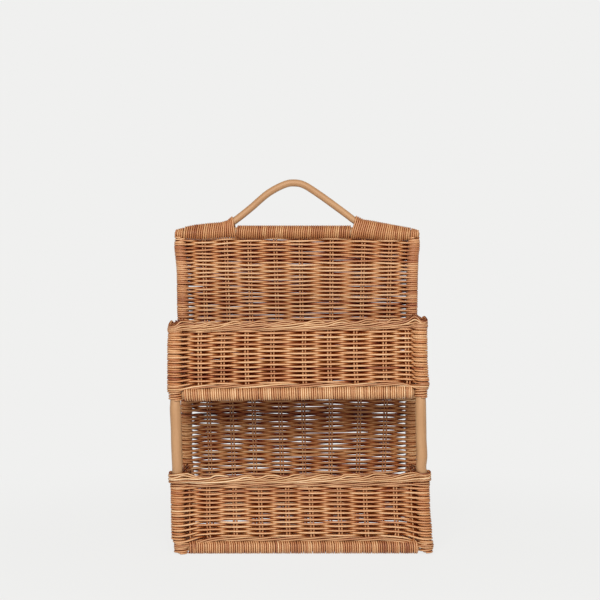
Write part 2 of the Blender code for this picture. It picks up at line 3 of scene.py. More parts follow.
import bpy
import numpy as np
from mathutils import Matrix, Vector


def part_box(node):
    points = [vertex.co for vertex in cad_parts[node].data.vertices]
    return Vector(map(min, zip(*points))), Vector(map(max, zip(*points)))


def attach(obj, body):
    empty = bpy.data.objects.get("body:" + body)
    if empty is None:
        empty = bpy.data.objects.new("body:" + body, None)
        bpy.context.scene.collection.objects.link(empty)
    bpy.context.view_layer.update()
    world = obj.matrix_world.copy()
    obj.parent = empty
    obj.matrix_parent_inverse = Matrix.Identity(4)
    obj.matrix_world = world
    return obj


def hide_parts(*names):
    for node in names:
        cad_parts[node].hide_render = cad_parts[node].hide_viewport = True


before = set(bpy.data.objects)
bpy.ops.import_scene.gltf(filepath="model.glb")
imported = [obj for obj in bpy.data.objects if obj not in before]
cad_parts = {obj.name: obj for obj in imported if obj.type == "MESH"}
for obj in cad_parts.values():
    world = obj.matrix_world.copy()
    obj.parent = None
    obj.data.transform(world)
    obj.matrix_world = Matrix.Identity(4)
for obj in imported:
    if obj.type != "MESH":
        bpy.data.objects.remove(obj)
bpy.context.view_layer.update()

# Every length below is in millimetres, and MM turns it into Blender's metres
MM = 0.001
SIDES = ((-1, "left"), (1, "right"))
scene = bpy.context.scene
rng = np.random.default_rng(20)


def box(name):
    """A node's lowest and highest corner."""
    low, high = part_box(name)
    return np.array(low) / MM, np.array(high) / MM


def middle(name):
    low, high = box(name)
    return (low + high) / 2


def radius_of(name, axis):
    low, high = box(name)
    return (high[axis] - low[axis]) / 2


# Where the frame's rods lie

FRONT_HALF = middle("front_post_right")[0]
FRONT_Y = middle("front_post_right")[1]
BACK_Y = middle("back_post_right")[1]
POST_R = radius_of("front_post_right", 0)
BACK_R = radius_of("back_post_right", 1)
RAIL_R = radius_of("lower_front_rail", 1)
TOP_R = radius_of("top_rail", 1)
TOP_Z = middle("top_rail")[2]
TOP_HALF = box("top_rail")[1][0]
FLOOR_Z = {tier: middle(f"{tier}_front_rail")[2] for tier in ("lower", "upper")}
RIM_Z = {tier: box(f"{tier}_rim_front")[1][2] for tier in ("lower", "upper")}
BACK_FOOT_HALF = box("back_post_right")[0][0] + BACK_R
BACK_HEAD_HALF = box("back_post_right")[1][0] - BACK_R
BACK_HEAD_Z = box("back_post_right")[1][2]


def back_half(z):
    return BACK_FOOT_HALF + (BACK_HEAD_HALF - BACK_FOOT_HALF) * z / BACK_HEAD_Z


def side_half(y, z):
    """Half the width between the middles of the two sides."""
    share = (y - FRONT_Y) / (BACK_Y - FRONT_Y)
    return FRONT_HALF + (back_half(z) - FRONT_HALF) * share


def line(x, y, z):
    """Points whose places are given in arrays or in single numbers."""
    return np.stack(np.broadcast_arrays(x, y, z), axis=-1)


def smooth(t):
    t = np.clip(t, 0.0, 1.0)
    return t * t * (3 - 2 * t)


def ease(value, start, stop):
    """0 at start and 1 at stop, smoothly from one to the other."""
    return smooth((value - start) / (stop - start))


def bend(z, knots):
    """A smooth run through (height, shift) pairs."""
    heights, shifts = np.array(knots, float).T
    i = np.clip(np.searchsorted(heights, z) - 1, 0, len(heights) - 2)
    t = smooth((z - heights[i]) / (heights[i + 1] - heights[i]))
    return shifts[i] + (shifts[i + 1] - shifts[i]) * t


# How far right the hand-made shelf's posts stand at each height
FRONT_POSTS = ((
    (0, 4.5), (12.5, 5.4), (20, 1.6), (45, 1.2), (84, 0.8), (97, -0.2), (107, 0.2), (150, -0.9), (186, -2.1),
    (203, -2.2), (210, -3.0), (262, -2.8), (282, -1.6), (292, -0.8),
), (
    (0, 7.7), (12, 8.0), (24, 6.6), (60, 3.9), (85, 3.2), (97, 2.9), (106, 1.4), (120, 2.4), (145, 1.3),
    (186, 0.8), (200, 0.9), (212, 2.4), (225, 1.2), (242, 0.2), (292, -0.4), (300, -1.0),
))
BACK_POSTS = ((
    (0, 3.5), (60, 1.5), (112, -1.4), (150, -0.4), (202, 1.2), (302, -1.1), (352, -0.5), (390, -2.6),
    (404, -1.6), (424, 0.0),
), (
    (0, 4.0), (60, 3.0), (112, 2.6), (150, 1.0), (202, -0.5), (304, -2.4), (352, -2.8), (374, -2.6),
    (390, -1.4), (404, -2.3), (424, 0.0),
))
# How much higher the right front and all above the feet lie, and how much lower the top rail's ends
RIGHT_LIFT = ((0, 0.2), (12, 0.4), (100, 3.0), (282, 4.2), (302, 5.0), (362, 0.0))
BASE_LIFT, BASE_LIFT_UP = 1.4, (9, 29)
LEFT_DROOP, RIGHT_DROOP = 1.9, 2.6
DROOP_ALONG, DROOP_UP = (85, 125), (354, 394)


def share_right(x):
    return np.clip((x + FRONT_HALF) / (2 * FRONT_HALF), 0, 1)


def shift(posts, x, z):
    """How far to the right a point between two posts lies."""
    left, right = posts
    return bend(z, left) * (1 - share_right(x)) + bend(z, right) * share_right(x)


def askew(points):
    """Moves points from the frame's true places to those of the hand-made shelf."""
    x, y, z = np.asarray(points, float).T
    behind = np.clip((y - FRONT_Y) / (BACK_Y - FRONT_Y), 0, 1)
    shifted = x + shift(FRONT_POSTS, x, z) * (1 - behind) + shift(BACK_POSTS, x, z) * behind
    lift = bend(z, RIGHT_LIFT) * share_right(x) * (1 - behind) + BASE_LIFT * ease(z, *BASE_LIFT_UP)
    droop = np.where(x < 0, LEFT_DROOP, RIGHT_DROOP)
    lift -= droop * ease(np.abs(x), *DROOP_ALONG) * ease(z, *DROOP_UP) * behind
    return line(shifted, y, z + lift)


# Strands

# A strand's rounded end, in shares of its radius
TIP_LENGTH, TIP_RADIUS = 0.35, 0.6
# How far apart the grain of two strands lies, and how deep the painted shade is on the side of a strand that
# faces the weave's middle
GRAIN_STEP = 977.0
INNER_SHADE = 1.1
TONE_SPREAD = 0.15


class Cane:
    """Round strands gathered into one mesh, each with its own tone, its own run of grain and its painted
    shade.
    """

    def __init__(self, sides=9, edge=0.75):
        self.sides = sides
        self.edge = edge
        self.points, self.grain, self.tones, self.shades, self.faces, self.caps = ([] for _ in range(6))
        self.count = 0
        self.strands = 0

    def add(self, path, radius, reference, tone=None, flat=1.0, outward=None, edge=None, recess_shade=0.0):
        """A strand along path, whose neighbours lie along the reference.

        Flat is its width along the reference against that across it. Outward leads away from the weave's
        middle, at most 1 long, and the side that faces the middle gets painted shade. The last two give
        painted shade too: how much lies on the flanks, where a strand meets its neighbours, and how much all
        round.
        """
        path = askew(path)
        n = len(path)
        tone = new_tone() if tone is None else tone
        edge = self.edge if edge is None else edge
        radius, flat, tone, edge, recess_shade = (
            np.broadcast_to(np.asarray(v, float), (n,)) for v in (radius, flat, tone, edge, recess_shade)
        )
        tangent = np.gradient(path, axis=0)
        tangent /= np.linalg.norm(tangent, axis=1)[:, None] + 1e-9
        outward = np.zeros_like(path) if outward is None else np.asarray(outward, float)
        tip = radius[0] * TIP_LENGTH
        path = np.vstack([path[:1] - tangent[:1] * tip, path, path[-1:] + tangent[-1:] * tip])
        tangent, flat, tone, outward, edge, recess_shade = (
            np.concatenate([v[:1], v, v[-1:]]) for v in (tangent, flat, tone, outward, edge, recess_shade)
        )
        radius = np.concatenate([[radius[0] * TIP_RADIUS], radius, [radius[-1] * TIP_RADIUS]])
        n += 2
        side = np.cross(tangent, np.broadcast_to(np.asarray(reference, float), path.shape))
        side /= np.linalg.norm(side, axis=1)[:, None] + 1e-9
        up = np.cross(side, tangent)
        along = np.concatenate([[0.0], np.cumsum(np.linalg.norm(np.diff(path, axis=0), axis=1))])
        angles = math.tau * (np.arange(self.sides) + 0.5) / self.sides
        across = radius[:, None] * np.cos(angles) / np.sqrt(flat)[:, None]
        upward = radius[:, None] * np.sin(angles) * np.sqrt(flat)[:, None]
        around = across[..., None] * side[:, None] + upward[..., None] * up[:, None]
        # Painted shade: the flanks that face a neighbour and the side that faces the weave's middle are
        # darkened, where the real weave lies in shade
        inward = -(around * outward[:, None]).sum(axis=2) / radius[:, None]
        flanks = ease(np.abs(np.sin(angles)), 0.5, 1.0) * edge[:, None] + recess_shade[:, None]
        run = np.broadcast_to((along + GRAIN_STEP * self.strands)[:, None], across.shape)
        self.points.append((path[:, None] + around).reshape(-1, 3))
        self.grain.append(np.stack([run, across, upward], axis=2).reshape(-1, 3))
        self.tones.append(np.repeat(tone, self.sides))
        self.shades.append(np.clip(flanks + np.maximum(inward, 0) * INNER_SHADE, 0, 1).ravel())
        rings = self.count + np.arange(n * self.sides).reshape(n, self.sides)
        turned = np.roll(rings, -1, axis=1)
        quads = np.stack([rings[:-1], turned[:-1], turned[1:], rings[1:]], axis=2)
        self.faces.append(quads.reshape(-1, 4))
        self.caps += [rings[0, ::-1].tolist(), rings[-1].tolist()]
        self.count += rings.size
        self.strands += 1

    def piece(self, name, finish, slot, *nodes):
        """The mesh, as a piece that stands for these nodes."""
        mesh = bpy.data.meshes.new(name)
        faces = [*np.concatenate(self.faces).tolist(), *self.caps]
        mesh.from_pydata((np.concatenate(self.points) * MM).tolist(), [], faces)
        mesh.shade_smooth()
        for key, kind, field, parts in (
            ("grain", "FLOAT_VECTOR", "vector", self.grain),
            ("tone", "FLOAT", "value", self.tones),
            ("shade", "FLOAT", "value", self.shades),
        ):
            attribute = mesh.attributes.new(key, kind, "POINT")
            attribute.data.foreach_set(field, np.concatenate(parts).astype(np.float32).ravel())
        mesh.validate()
        mesh.materials.append(finish)
        made = in_scene(name, mesh)
        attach(made, "root")
        if nodes:
            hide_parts(*nodes)
        return made


def in_scene(name, data):
    """A new object, put into the scene."""
    made = bpy.data.objects.new(name, data)
    scene.collection.objects.link(made)
    return made


def new_tone():
    """The tone of one strand, from 0, brown and reddish, to 1, pale."""
    return float(np.clip(rng.normal(0.5, TONE_SPREAD), 0.02, 0.98))


def tones_along(count, shortest, longest, brighter=0.0):
    """Tones for a weaver that is joined from strand after strand."""
    tones = np.empty(count)
    done = 0
    while done < count:
        length = int(rng.integers(shortest, longest))
        tones[done : done + length] = new_tone() + brighter
        done += length
    return tones


def curve(points, steps):
    """A smooth curve through points, with as many steps from one to the next."""
    points = np.asarray(points, float)
    padded = np.vstack([2 * points[0] - points[1], points, 2 * points[-1] - points[-2]])
    out = []
    for a, b, c, d in zip(padded, padded[1:], padded[2:], padded[3:]):
        square, cube = 2 * a - 5 * b + 4 * c - d, 3 * b - a - 3 * c + d
        for t in np.arange(steps) / steps:
            out.append(0.5 * (2 * b + (c - a) * t + square * t**2 + cube * t**3))
    out.append(points[-1])
    return np.array(out)


# Materials

# How fast the grain's patterns change along a strand and across it
BLOTCHES = (0.022, 0.12, 0.12)
FIBRES = (0.05, 1.7, 1.7)
FLECKS = (0.4, 2.2, 2.2)
BLOTCH_SPREAD = 0.75
FLECK_COLOUR, FLECK_FROM = (150, 96, 60), (0.62, 0.74)
FIBRE_DEPTH = 0.2 * MM
ROUGHER, SMOOTHER = 0.12, 0.1
# Painted shade: where the shade attribute is high the colour is deepened by this power, standing in for light
# in a crevice that bounces from cane to cane
DEEPENING = 2.5
# How glossy the cane is, and a warm tint on its gloss, which paints in the warm light bounced between canes
GLOSS = 0.55
GLOSS_TINT = (1.0, 0.93, 0.85, 1.0)


def screen(red, green, blue):
    """A colour given as it shows on a screen."""

    def linear(value):
        value /= 255
        return value / 12.92 if value <= 0.04045 else ((value + 0.055) / 1.055) ** 2.4

    return (linear(red), linear(green), linear(blue), 1.0)


def feed(tree, made, inputs):
    """Gives each input its value, or the output that it is linked to."""
    for key, value in inputs.items():
        if isinstance(value, bpy.types.NodeSocket):
            tree.links.new(value, made.inputs[key])
        else:
            made.inputs[key].default_value = value


def node(tree, kind, inputs=None, **settings):
    made = tree.nodes.new(kind)
    for key, value in settings.items():
        setattr(made, key, value)
    feed(tree, made, inputs or {})
    return made


def maths(tree, operation, a, b):
    return node(tree, "ShaderNodeMath", {0: a, 1: b}, operation=operation).outputs[0]


def mapped(tree, value, start, stop, low, high, **settings):
    """A value taken from one range to another."""
    inputs = {"Value": value, "From Min": start, "From Max": stop, "To Min": low, "To Max": high}
    return node(tree, "ShaderNodeMapRange", inputs, **settings).outputs["Result"]


def cane_material(name, colours, roughness=0.5, streaks=0.5, flecks=0.35, bump=0.25):
    """Rattan whose grain runs along each strand. Colours go from the darkest tone to the palest. Where the
    shade attribute is high, painted shade deepens the colour and takes away the gloss.
    """
    made = bpy.data.materials.new(name)
    made.use_nodes = True
    tree = made.node_tree
    grain, tone, shade = (
        node(tree, "ShaderNodeAttribute", attribute_name=key) for key in ("grain", "tone", "shade")
    )

    def noise(scale, detail):
        inputs = {0: grain.outputs["Vector"], 1: scale}
        stretched = node(tree, "ShaderNodeVectorMath", inputs, operation="MULTIPLY")
        inputs = {"Vector": stretched.outputs[0], "Scale": 1.0, "Detail": detail}
        return node(tree, "ShaderNodeTexNoise", inputs).outputs["Fac"]

    def spread(value, amount):
        return maths(tree, "MULTIPLY", maths(tree, "SUBTRACT", value, 0.5), amount)

    fibres = noise(FIBRES, 3.0)
    total = maths(tree, "ADD", tone.outputs["Fac"], spread(noise(BLOTCHES, 2.0), BLOTCH_SPREAD))
    ramp = node(tree, "ShaderNodeValToRGB", {"Fac": maths(tree, "ADD", total, spread(fibres, streaks))})
    steps = ramp.color_ramp.elements
    while len(steps) < len(colours):
        steps.new(0.5)
    for i, colour in enumerate(colours):
        steps[i].position = i / (len(colours) - 1)
        steps[i].color = screen(*colour)
    fleck = mapped(tree, noise(FLECKS, 2.0), *FLECK_FROM, 0.0, flecks)
    inputs = {0: fleck, 6: ramp.outputs["Color"], 7: screen(*FLECK_COLOUR)}
    flecked = node(tree, "ShaderNodeMix", inputs, data_type="RGBA", blend_type="MULTIPLY")
    # Painted shade: the colour deepens and the gloss fades where the shade attribute is high
    bounces = maths(tree, "ADD", maths(tree, "MULTIPLY", shade.outputs["Fac"], DEEPENING), 1.0)
    deep = node(tree, "ShaderNodeGamma", {"Color": flecked.outputs[2], "Gamma": bounces})
    relief = node(tree, "ShaderNodeBump", {"Strength": bump, "Distance": FIBRE_DEPTH, "Height": fibres})
    gloss_in_shade = maths(tree, "MULTIPLY", shade.outputs["Fac"], GLOSS)
    feed(tree, tree.nodes["Principled BSDF"], {
        "Base Color": deep.outputs[0],
        "Roughness": mapped(tree, fibres, 0.0, 1.0, roughness - SMOOTHER, roughness + ROUGHER),
        "Normal": relief.outputs["Normal"],
        "Specular IOR Level": maths(tree, "SUBTRACT", GLOSS, gloss_in_shade),
        "Specular Tint": GLOSS_TINT,
    })
    return made


WEAVING = cane_material("weaving_cane", ((160, 96, 57), (192, 137, 92), (213, 169, 126), (224, 192, 155)))
# The stakes are darker than the weavers: partly their own colour and partly painted shade, as they stand
# behind the rows
STAKES = cane_material("stake_cane", ((174, 110, 66), (200, 144, 98), (220, 176, 132)))
WRAPPING = cane_material(
    "wrapping_cane", ((154, 94, 59), (184, 129, 87), (206, 160, 116), (226, 190, 150)), roughness=0.48
)
BORDER = cane_material("border_cane", ((154, 96, 61), (182, 132, 91), (204, 163, 120), (228, 198, 162)))
RODS = cane_material(
    "peeled_rod_cane", ((156, 112, 74), (176, 133, 93), (194, 154, 113)),
    roughness=0.54, streaks=0.6, flecks=0.25, bump=0.2,
)


# Rods

# Where each front post ends, and its share of the frame's thickness at heights over that
FOOT_Z = {"left": 2.8, "right": 4.0}
POST_SHARES = (
    (0, 0.84), (0.8, 0.94), (2.4, 1.0), (100, 1.02), (116, 1.09), (184, 1.09), (194, 0.93), (206, 0.93),
    (220, 1.0), (300, 0.97),
)
POST_BOW, POST_BOW_LENGTH = 0.25, 60
# How far short of the frame's the top rail ends, and how it thins there
RAIL_END = 1.6
RAIL_THINNING = ((0.9, 128, 152), (2.8, 150, 163))
ROD_UNEVEN = 0.012
# The handle's middle line from the top rail's axis, and its half thickness
HANDLE = (
    (-151.0, 5.6, 1.2), (-137.0, 7.6, 2.2), (-119.0, 8.4, 3.4), (-102.0, 7.8, 4.2), (-94.0, 9.4, 4.5),
    (-84.0, 15.8, 4.7), (-63.7, 31.8, 4.7), (-40.7, 51.4, 4.7), (-19.4, 62.9, 4.7), (-5.8, 65.3, 4.75),
    (7.8, 62.3, 4.7), (26.8, 50.3, 4.7), (46.0, 36.6, 4.7), (64.0, 23.3, 4.65), (75.0, 15.2, 4.6),
    (86.0, 10.4, 4.4), (102.0, 9.4, 4.0), (119.0, 8.6, 3.2), (137.0, 6.6, 2.0), (151.0, 5.0, 1.2),
)
HANDLE_R = 4.7


def rail_radius(x):
    radius = TOP_R
    for thinner, start, stop in RAIL_THINNING:
        radius = radius - thinner * ease(abs(x), start, stop)
    return radius


def plain_rod(name, points, radius, reference=(0, 0, 1)):
    """A rod of peeled rattan for a node, a little uneven."""
    cane = Cane(sides=20, edge=0.0)
    path = curve(points, 6)
    radius = np.interp(np.linspace(0, 1, len(path)), np.linspace(0, 1, len(radius)), radius)
    radius = radius * (1 + ROD_UNEVEN * np.sin(np.linspace(0, 9, len(path)) + rng.uniform(0, 6)))
    cane.add(path, radius, reference, tone=0.5)
    cane.piece(f"{name}_rod", RODS, "peeled_rod", name)


def make_rods():
    for side, word in SIDES:
        foot = FOOT_Z[word]
        foot_steps = foot + np.array([0, 0.8, 2.4, 6.0])
        heights = np.concatenate([foot_steps, np.linspace(20, RIM_Z["upper"] - 12, 30)])
        x = side * FRONT_HALF + POST_BOW * np.sin(heights / POST_BOW_LENGTH + side)
        radius = POST_R * bend(heights - foot, POST_SHARES)
        plain_rod(f"front_post_{word}", line(x, FRONT_Y, heights), radius, (0, 1, 0))
        heights = np.linspace(2, BACK_HEAD_Z, 9)
        plain_rod(f"back_post_{word}", line(side * back_half(heights), BACK_Y, heights), [BACK_R], (0, 1, 0))
    xs = np.linspace(RAIL_END - TOP_HALF, TOP_HALF - RAIL_END, 41)
    plain_rod("top_rail", line(xs, BACK_Y, TOP_Z), rail_radius(xs))
    for tier, z in FLOOR_Z.items():
        for name in (f"{tier}_front_rail", f"{tier}_back_rail"):
            low, high = box(name)
            plain_rod(name, line(np.linspace(low[0], high[0], 9), (low[1] + high[1]) / 2, z), [RAIL_R])
        for side, word in SIDES:
            low, high = box(f"{tier}_side_rail_{word}")
            y = np.linspace(low[1], high[1], 6)
            plain_rod(f"{tier}_side_rail_{word}", line(side * side_half(y, z), y, z), [RAIL_R])


def make_handle():
    x, z, radius = np.array(HANDLE).T
    path = curve(line(x, BACK_Y, TOP_Z + z), 8)
    radius = curve(radius[:, None], 8)[:, 0]
    cane = Cane(sides=24, edge=0.0)
    cane.add(path, radius, (0, 1, 0), tone=0.45, flat=HANDLE_R / radius)
    cane.piece("handle_rod", RODS, "peeled_rod", "handle")


# Panels woven to and fro between two rods

# A stake's radius, and how much painted shade lies on its flanks towards its partner
STAKE_R, STAKE_FLANK_SHADE = 1.25, 0.8
# Half the way between a pair's axes, and how far a weaver lies flat past them
HALF_PAIR, PAST_PIN = 1.75, 0.9
# What a weaver keeps of its thickness against a stake
PRESSED = 0.98
BAY_STEPS = 8
# A panel's slow waves: share of its waviness, length, and shift from row to row
WAVES = ((0.6, 31, 0.11), (0.5, 17, 0.23), (0.4, 53, -0.17))
UNEVEN_PITCH, UNEVEN_PLACES = 27.0, 64
# How soon a row leaves the level of its turn round an end rod, and how flat it lies there
LEAVING, TURN_FLAT = 1.4, 1.12
# What a fuller strand loses of its belly at a pair
TUCK = 1.2


def waviness(amount):
    """A slow rise and fall that neighbouring rows share."""
    phases = rng.uniform(0, math.tau, 4)

    def at(u, row):
        return amount * sum(
            share * np.sin(u / length + row * drift + phase)
            for (share, length, drift), phase in zip(WAVES, phases)
        )

    return at


def unevenness(rows, amount):
    """A slight rise and fall that each row has of its own."""
    table = rng.normal(0, amount, (rows, UNEVEN_PLACES))

    def at(u, row):
        place = np.asarray(u, float) / UNEVEN_PITCH + UNEVEN_PLACES // 2
        i = np.clip(place.astype(int), 0, UNEVEN_PLACES - 2)
        t = smooth(place - i)
        return table[row, i] * (1 - t) + table[row, i + 1] * t

    return at


def side_of(number):
    """1, in front, where a row's and a pin's numbers make an even one, and otherwise -1, behind."""
    return 1 if number % 2 == 0 else -1


def to_and_fro(rows, pitch, rise, ends, end_r, pins, strand_r, wave, jitter,
               end_spread=lambda level: 0.25, uneven=lambda level: 0.0, belly=lambda level: 0.0):
    """One weaver woven to and fro, with a turn and a half round each end rod. Returns u, n, level, flatness.

    rise(count) is the level after so many rows, and pins[i](level) the place of pair i.
    """
    count = len(pins)
    track = STAKE_R + strand_r * PRESSED
    around = end_r + strand_r
    row_jitter = rng.normal(0, jitter, rows + 1)
    own = unevenness(rows + 1, 1.0)
    t = np.linspace(0, 1, BAY_STEPS)
    parts = []

    def level_of(row, u):
        base = rise(row + 0.5)
        return base + row_jitter[row] + wave(u, row) + uneven(base) * own(u, row)

    for row in range(rows):
        forward = row % 2 == 0
        direction = 1 if forward else -1
        base = rise(row + 0.5)
        spread = end_spread(base) * pitch
        order = range(-1, count + 1)[::direction]
        for a, b in zip(order, order[1:]):
            stops = []
            for i in (a, b):
                if 0 <= i < count:
                    stops.append((pins[i](base), side_of(i + row) * track, HALF_PAIR + PAST_PIN))
                else:
                    stops.append((ends[i > 0](base), side_of(i + row) * around, 0.0))
            (u0, n0, past0), (u1, n1, past1) = stops
            start, stop = u0 + direction * past0, u1 - direction * past1
            u = start + (stop - start) * t
            level = level_of(row, u)
            at_pairs = (1 - smooth(2 * t)) * (0 <= a < count) + smooth(2 * t - 1) * (0 <= b < count)
            if a in (-1, count) and row > 0:
                level = level + spread * (1 - smooth(t * LEAVING))
            if b in (-1, count) and row < rows - 1:
                level = level - spread * smooth(1 - (1 - t) * LEAVING)
            flat = 1 + belly(base) * (1 - TUCK * at_pairs)
            parts.append((u, n0 + (n1 - n0) * smooth(t), level, flat))
        if row == rows - 1:
            break
        turn = np.linspace(0, 3 * math.pi, 22)[1:-1]
        centre = ends[forward](base)
        angle = side_of(order[-1] + row) * (math.pi / 2 - turn)
        start = level_of(row, centre) - spread
        stop = level_of(row + 1, centre) + spread
        u = centre + direction * around * np.cos(angle)
        level = start + (stop - start) * turn / (3 * math.pi)
        parts.append((u, around * np.sin(angle), level, np.full(len(turn), TURN_FLAT)))
    return tuple(np.concatenate(part) for part in zip(*parts))


def off_middle(axis, n, reach):
    """The way from a weave's middle to its strands."""
    return np.clip(n / reach, -1, 1)[:, None] * np.eye(3)[axis]


def add_pair(cane, points, axis):
    """Two stakes along points, side by side on an axis."""
    across = np.eye(3)[axis]
    for side in (-1, 1):
        cane.add(points + side * HALF_PAIR * across, STAKE_R, across)


# The back

BACK_STRAND_R, BACK_PITCH = 1.53, 2.843
# From the lower rail to the first row, and from the last one to the top rail
BACK_START, BACK_STOP = 6.0, 0.6
# How far the stakes reach below the first row, and end below the top rail
BACK_STAKE_FOOT, BACK_STAKE_HEAD = 4, 1.6
# By what share the rows lie further apart at the foot, and closer at the top
BACK_CLOSING = 0.078
BACK_WAVINESS, BACK_JITTER, BACK_UNEVEN = 0.4, 0.1, 0.31
# How far a row spreads at the posts, in pitches, and how much more further down
BACK_SPREAD = 0.2
MORE_SPREAD = ((0.1, 330, 290), (0.12, 262, 182))
# How much thicker the weaver is: all over, outside the opening and at the foot
THICKER, CLOSED_THICKER, FOOT_THICKER, FOOT_DOWN = 0.02, 0.03, 0.1, (100, 70)
# How much painted shade lies on the back weaver's flanks, where its rows meet
BACK_FLANK_SHADE = 0.95
# How much browner the weaver is round a back post in the upper tier, as painted shade on the wraps there, and
# where that begins
STILE_SHADE_TONE = -0.28
STILE_FROM, STILE_UP = (-14, -6), (230, 250)
# Where the opening between the tiers begins and ends, and what it adds to the weaver's values: a paler tone
# and painted shade all round, which together paint the shade under the upper tier and the warm light bounced
# there, less painted shade on the flanks, more unevenness and a fuller belly
OPENING_UP, OPENING_DOWN = (76, 106), (240, 180)
OPENING_TONE, OPENING_RECESS_SHADE, OPENING_FLANK_SHADE, OPENING_UNEVEN, OPENING_BELLY = 0.14, 0.16, -0.42, 0.17, 0.4
# Where the pairs stand at two heights
BACK_PAIR_LEVELS = (112.0, 352.0)
BACK_PAIRS = ((-118.3, -124.7), (-87.4, -95.3), (-58.4, -64.5), (-22.8, -29.9), (7.2, 3.2), (42.7, 43.7),
              (79.7, 85.2), (114.4, 120.8))
# Where the wraps round the posts' tops begin and end, from the last row
HEAD_WRAPS = ((-1, -5.6), (1, -3.0))
HEAD_WRAP_END = 2.4


def openness(level):
    """1 between the tiers, where light shows through the back and the weaver is painted with the shade and
    bounced light under the upper tier, and 0 elsewhere.
    """
    return ease(level, *OPENING_DOWN) * ease(level, *OPENING_UP)


def back_pin(low, high):
    """A pair's place in the frame, from those that the photograph shows."""

    def at(level):
        start, stop = BACK_PAIR_LEVELS
        place = low + (high - low) * ((level - start) / (stop - start))
        return place - shift(BACK_POSTS, place, level)

    return at


def make_back():
    low = FLOOR_Z["lower"] + RAIL_R + BACK_START
    high = TOP_Z - TOP_R - BACK_STOP
    rows = int((high - low) / BACK_PITCH)

    def rise(count):
        share = count / rows
        return low + (high - low) * (share + BACK_CLOSING * share * (1 - share))

    def end_spread(level):
        return sum((more * ease(level, *fade) for more, *fade in MORE_SPREAD), BACK_SPREAD)

    pins = [back_pin(*pair) for pair in BACK_PAIRS]
    ends = (lambda level: -back_half(level), back_half)
    u, n, level, flat = to_and_fro(
        rows, (high - low) / rows, rise, ends, BACK_R, pins, BACK_STRAND_R, waviness(BACK_WAVINESS),
        BACK_JITTER, end_spread, uneven=lambda level: BACK_UNEVEN + OPENING_UNEVEN * openness(level),
        belly=lambda level: OPENING_BELLY * openness(level),
    )
    cane = Cane(sides=6, edge=BACK_FLANK_SHADE)
    opened = openness(level)
    radius = BACK_STRAND_R * (1 + 0.03 * np.sin(np.arange(len(u)) / 140)) + THICKER
    radius += CLOSED_THICKER * (1 - opened)
    radius += FOOT_THICKER * ease(level, *FOOT_DOWN)
    tones = tones_along(len(u), 60, 160) + OPENING_TONE * opened
    tones += STILE_SHADE_TONE * ease(level, *STILE_UP) * ease(np.abs(u) - back_half(level), *STILE_FROM)
    outward = off_middle(1, -n, STAKE_R + BACK_STRAND_R)
    # In the opening a paler tone and painted shade all round paint the shade under the upper tier and the
    # light bounced there; the flanks get less painted shade
    cane.add(line(u, BACK_Y - n, level), radius, (0, 0, 1), tones, flat, outward,
             BACK_FLANK_SHADE + OPENING_FLANK_SHADE * opened, OPENING_RECESS_SHADE * opened)
    for side, start in HEAD_WRAPS:
        wrap_post(cane, side * back_half(high), BACK_Y, BACK_R, high + start, high + HEAD_WRAP_END)
    cane.piece("back_weaving", WEAVING, "weaving_core", "back_weave")
    stakes = Cane(sides=8, edge=STAKE_FLANK_SHADE)
    levels = np.linspace(low - BACK_STAKE_FOOT, TOP_Z - TOP_R - BACK_STAKE_HEAD, 24)
    for pin in pins:
        add_pair(stakes, line(pin(levels), BACK_Y, levels), 0)
    stakes.piece("back_stake_pairs", STAKES, "stake_core", "back_stakes")


# The floors

FLOOR_TONE = {"upper": 0.13, "lower": -0.05}
FLOOR_STRAND_R, FLOOR_PITCH, FLOOR_PAIRS = 1.28, 2.72, 3
FLOOR_WAVINESS, FLOOR_JITTER = 0.12, 0.2
# How far the weaving reaches past the frame's, and its rods end from a side rail
FLOOR_OVER, FLOOR_ROD_GAP = 1.5, 0.3


def floor_top(tier):
    return FLOOR_Z[tier] + RAIL_R + 2 * FLOOR_STRAND_R


def make_floor(tier):
    z = FLOOR_Z[tier]
    front = middle(f"{tier}_front_rail")[1]
    back = middle(f"{tier}_back_rail")[1]
    half = box(f"{tier}_floor_weave")[1][0] + FLOOR_OVER
    rows = int(2 * half / FLOOR_PITCH)
    pitch = 2 * half / rows
    places = [front + (back - front) * (i + 1) / (FLOOR_PAIRS + 1) for i in range(FLOOR_PAIRS)]
    u, n, level, flat = to_and_fro(
        rows, pitch, lambda count: count * pitch - half, (lambda level: front, lambda level: back), RAIL_R,
        [lambda level, y=y: y for y in places], FLOOR_STRAND_R, waviness(FLOOR_WAVINESS), FLOOR_JITTER,
    )
    narrower = (back_half(z) - FRONT_HALF) / FRONT_HALF * (u - front) / (back - front)
    cane = Cane(sides=7)
    path = line(level * (1 + narrower), u, z + n)
    radius = FLOOR_STRAND_R * (1 + 0.07 * np.sin(np.arange(len(u)) / 37.0))
    tones = tones_along(len(u), 22, 70, FLOOR_TONE[tier])
    cane.add(path, radius, (1, 0, 0), tones, flat, off_middle(2, n, STAKE_R + FLOOR_STRAND_R))
    cane.piece(f"{tier}_floor_weaving", WRAPPING, "floor_core", f"{tier}_floor_weave")
    stakes = Cane(sides=8, edge=STAKE_FLANK_SHADE)
    for y in places:
        end = side_half(y, z) - RAIL_R - FLOOR_ROD_GAP
        add_pair(stakes, line(np.linspace(-end, end, 12), y, z), 1)
    stakes.piece(f"{tier}_floor_stake_rods", STAKES, "stake_core", f"{tier}_floor_stakes")


# Bands: rows that run along the left side, round the front and along the right side

BAND_STRAND_R, BAND_STAKE_R = 1.48, 1.4
BAND_PAIRS = {
    "upper": (-121.5, -93.4, -63.0, -31.0, 8.1, 39.5, 72.1, 108.0, 136.4),
    "lower": (-115.4, -82.1, -50.2, -16.8, 13.4, 48.4, 81.1, 118.3),
}
PAIR_LEAN, PAIR_LEAN_OVER = 0.6, 60
